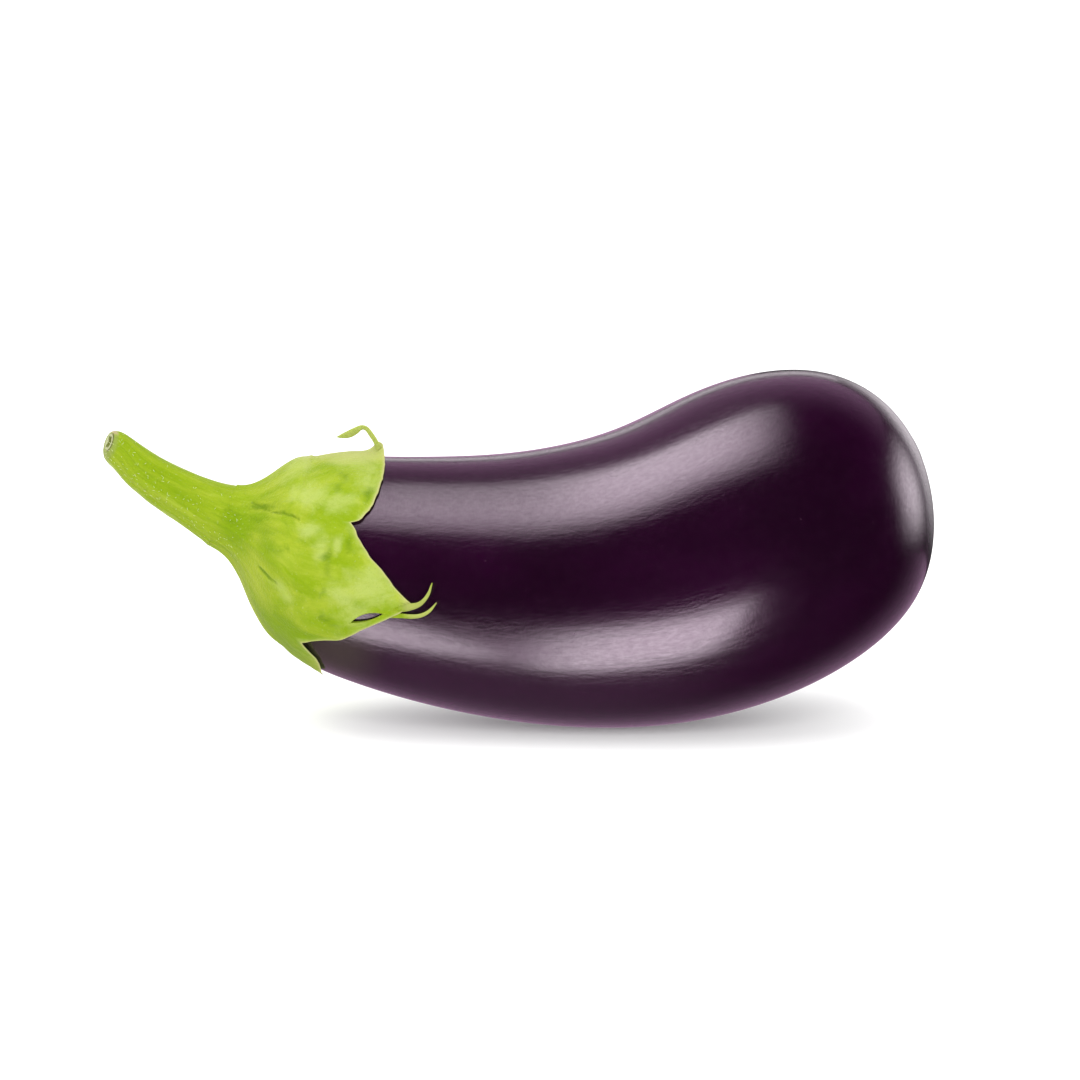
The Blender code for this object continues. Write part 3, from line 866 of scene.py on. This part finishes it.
# The strands' middle lines, the fork's as (angle, reach in mm, mm off the fruit) and the curl's as
# places in mm, with the widths in mm at those places.
FORK_UPPER = (
    (-5.5, 42, 0.5), (-3.6, 45.4, 0.7), (-1.8, 47.8, 0.9), (0.6, 49.3, 1.3), (4.2, 50.5, 1.9),
    (9, 51.2, 2.6),
)
FORK_LOWER = (
    (-10, 39.5, 0.4), (-8.6, 43, 0.5), (-7.4, 47, 0.8), (-5.8, 49.4, 1.2), (-3, 51.4, 1.7),
    (1, 53, 2.3),
)
CURL = (
    (-62.6, -0.8, 76), (-63, -0.8, 78), (-63.9, -0.6, 80.2), (-65.1, -0.4, 82.1),
    (-66.5, -0.2, 83.9), (-68, 0, 84.2), (-69.7, 0.2, 83.2), (-71.4, 0.4, 82.3),
    (-73.4, 0.6, 81.7), (-74.9, 0.8, 81.4),
)
FORK_WIDTHS = (2.6, 2.1, 1.5, 1.1, 0.85, 0.3), (1.5, 1.4, 1.25, 1.1, 0.85, 0.3)
CURL_WIDTHS = (2, 1.6, 1.4, 1.4, 1.3, 1.4, 2.0, 2.1, 1.3, 0.2)
STRAND_ROWS, STRAND_SIDES = 60, 16

# The slit's corners, as (angle, reach in mm), and how far its tool stands off the fruit, in mm.
SLIT = ((-17.2, 31.2), (-11, 34.4), (-9, 39.2), (-14, 35.6))
SLIT_LOW, SLIT_HIGH = -1, 5


def make_strand(name, route, widths, flat, facing=None):
    """A tapering strand through the route's places. Flat is its thickness as a share of its
    width, and its flat side faces away from the fruit unless told otherwise."""
    run = through(np.concatenate([route, np.array(widths)[:, None] * MM], axis=1), STRAND_ROWS)
    middle, width = run[:, :3], run[:, 3]
    heading = unit(np.gradient(middle, axis=0))
    nearest = np.interp(middle[:, 0], spine.points[:, 0], spine.lengths)
    outward = facing or unit(middle - spine.at(nearest)[0])
    across = unit(np.cross(heading, outward))
    outward = np.cross(across, heading)
    turn = np.linspace(0, 2 * math.pi, STRAND_SIDES + 1)[:, None]
    ring = across[:, None] * np.cos(turn) + outward[:, None] * np.sin(turn) * flat
    points = middle[:, None] + width[:, None, None] / 2 * ring
    root, tip = (np.broadcast_to(end, points[:1].shape) for end in (middle[0], middle[-1]))
    return wrap(name, np.concatenate([root, points, tip]))


def along_fruit(route):
    """Places in metres for a route of (angle, reach in mm, mm off the fruit)."""
    angle, reach, lift = np.array(route, float).T
    return on_fruit(angle, reach * MM, lift * MM)


def make_slit_tool():
    """What the slit is cut with: a pointed oval, square to the fruit's skin."""
    left, top, right, bottom = (np.array(point, float) for point in SLIT)
    share = np.linspace(0, 1, 20, endpoint=False)[:, None]
    sides = []
    for start, bend, end in ((left, top, right), (right, bottom, left)):
        middle = 2 * bend - (start + end) / 2
        sides.append((1 - share) ** 2 * start + 2 * share * (1 - share) * middle + share**2 * end)
    rim = np.concatenate([*sides, sides[0][:1]])
    middle = rim.mean(axis=0)
    rows = []
    for spread, lift in ((0, SLIT_LOW), (1, SLIT_LOW), (1, SLIT_HIGH), (0, SLIT_HIGH)):
        angle, reach = (middle + (rim - middle) * spread).T
        rows.append(on_fruit(angle, reach * MM, lift * MM))
    return wrap("slit", np.array(rows))


def finish_calyx():
    """The shell with its slit cut and its strands grown on."""
    calyx = make_calyx()
    boolean(calyx, make_slit_tool(), "DIFFERENCE")
    for strand in (
        ("fork_upper", along_fruit(FORK_UPPER), FORK_WIDTHS[0], 0.4),
        ("fork_lower", along_fruit(FORK_LOWER), FORK_WIDTHS[1], 0.4),
        ("curl", np.array(CURL) * MM, CURL_WIDTHS, 0.3, (0, -1, 0)),
    ):
        boolean(calyx, make_strand(*strand), "UNION")
    round_off(calyx)
    finish_piece(calyx, green_skin("calyx_green"), "calyx")


# ------------------------------------------------------------------------ the studio


FLOOR_SIDE = 60.0
WHITE, BACKDROP = 1.25, 1.5  # the studio's even light, and its backdrop
LENS, CAMERA_DISTANCE, CAMERA_ELEVATION = 120, 1.008, 10
CAMERA_AIM = (-0.0182, 0, 0.0524)
GLOSS_TINT, CARD_TINT = (1, 0.60, 0.93), (1, 0.93, 0.98)


def make_floor():
    bpy.ops.mesh.primitive_plane_add(size=FLOOR_SIDE)
    floor = bpy.context.object
    floor.name = "floor"
    finish = Finish(
        "pale_floor", Base_Color=(0.9, 0.9, 0.9, 1), Roughness=1, Specular_IOR_Level=0,
        Emission_Color=(1, 0.98, 0.99, 1), Emission_Strength=0.17,
    )
    floor.data.materials.append(finish.made)
    floor.visible_glossy = False


def make_world():
    """Even white light, and for reflections a room that is dark in front, pale behind and dim
    below."""
    world = bpy.data.worlds.new("studio")
    bpy.context.scene.world = world
    world.use_nodes = True
    world.cycles.sampling_method = "NONE"
    studio = Nodes(world.node_tree)
    x, y, z = studio.separate(studio.node("TexCoord"))
    behind = studio.mask(y, 0.1, 0.95, 0, 0.7) * studio.mask(z, -0.5, 0.1, 0.55, 1)
    below = studio.mask(z, -0.6, -0.95, 0, 0.3) * studio.mask(x, 0.35, -0.05, 0.1, 1)
    gloss = behind + below * studio.mask(y, 0, 0.6, 1, 0.3)
    camera_ray, glossy_ray = (
        studio.node("LightPath", out=name) for name in ("Is Camera Ray", "Is Glossy Ray")
    )
    seen = camera_ray * (BACKDROP - WHITE) + WHITE
    background = world.node_tree.nodes["Background"].inputs
    studio.plug((1 - glossy_ray) * seen + glossy_ray * gloss, background["Strength"])
    studio.plug(studio.blend(glossy_ray, (1, 1, 1), GLOSS_TINT), background["Color"])


def make_card(name, place, width, height, strength, soft, turn=None):
    """A panel that shows only in gloss. It faces the fruit, or lies level with this turn. Soft
    is how it fades, as shares of its half: at its sides, at its near or lower edge, and at its
    far or upper edge."""
    place = Vector(place)
    bpy.ops.mesh.primitive_plane_add(size=1)
    card = bpy.context.object
    card.name = name
    card.location = place
    if turn is not None:
        card.rotation_euler = (0, 0, math.radians(turn))
    else:
        card.rotation_euler = (Vector((0, 0, 0.05)) - place).to_track_quat("Z", "Y").to_euler()
    card.scale = (width, height, 1)
    finish = Finish(name, Base_Color=(0, 0, 0, 1), Roughness=1, Specular_IOR_Level=0)
    x, y, _ = finish.separate(finish.place())
    sides, near, far = (0.5 * (1 - fade) for fade in soft)
    glow = finish.mask(abs(x), 0.5, sides)
    glow = glow * finish.mask(y, -0.5, -near) * finish.mask(y, 0.5, far)
    colour = finish.blend(glow, (0, 0, 0), CARD_TINT)
    finish.set(Emission_Color=colour, Emission_Strength=strength)
    finish.made.cycles.emission_sampling = "NONE"
    card.data.materials.append(finish.made)
    card.visible_camera = card.visible_diffuse = card.visible_shadow = False
    card.visible_transmission = card.visible_volume_scatter = False


def make_lamp(name, place, size, watts):
    """A soft square light that faces the fruit and doesn't show in its gloss."""
    data = bpy.data.lights.new(name, "AREA")
    data.size = size
    data.energy = watts
    lamp = bpy.data.objects.new(name, data)
    bpy.context.scene.collection.objects.link(lamp)
    lamp.location = place
    lamp.rotation_euler = (Vector((0, 0, 0.04)) - Vector(place)).to_track_quat("-Z", "Y").to_euler()
    lamp.visible_glossy = lamp.visible_camera = False


def make_camera():
    data = bpy.data.cameras.new("camera")
    data.lens = LENS
    data.clip_end = 100
    camera = bpy.data.objects.new("camera", data)
    bpy.context.scene.collection.objects.link(camera)
    rise = math.radians(CAMERA_ELEVATION)
    aim = Vector(CAMERA_AIM)
    camera.location = aim + CAMERA_DISTANCE * Vector((0, -math.cos(rise), math.sin(rise)))
    camera.rotation_euler = (aim - camera.location).to_track_quat("-Z", "Y").to_euler()
    bpy.context.scene.camera = camera


make_fruit()
finish_calyx()
make_stem()
make_hairs()
make_floor()
make_world()
make_card("overhead", (-1.75, -0.51, 1.2), 4.0, 1.5, 7.0, (0.36, 1.25, 0.3), turn=9)
make_card("front_low", (0.03, -1.33, -1.2), 0.98, 1.65, 8.6, (0.6, 0.6, 0.75))
make_card("behind", (0, 1.9, 0.72), 2.6, 0.7, 1.3, (0.6, 0.9, 0.9))
make_card("front_low_left", (-1.1, -1.2, -1.25), 1.4, 1.5, 6.6, (0.4, 0.6, 0.7))
make_card("right_end", (1.3, 0.5, 0.25), 1.3, 1.2, 4.0, (1.0, 0.9, 0.9))
make_card("right_behind", (0.95, 1.7, 0.3), 2.0, 1.6, 1.3, (0.9, 0.9, 0.9))
make_lamp("front", (0.1, -1.4, 0.8), 0.8, 12)
make_lamp("above", (-0.2, -0.1, 1.25), 1.4, 8)
make_camera()
bpy.context.scene.view_settings.view_transform = "Standard"
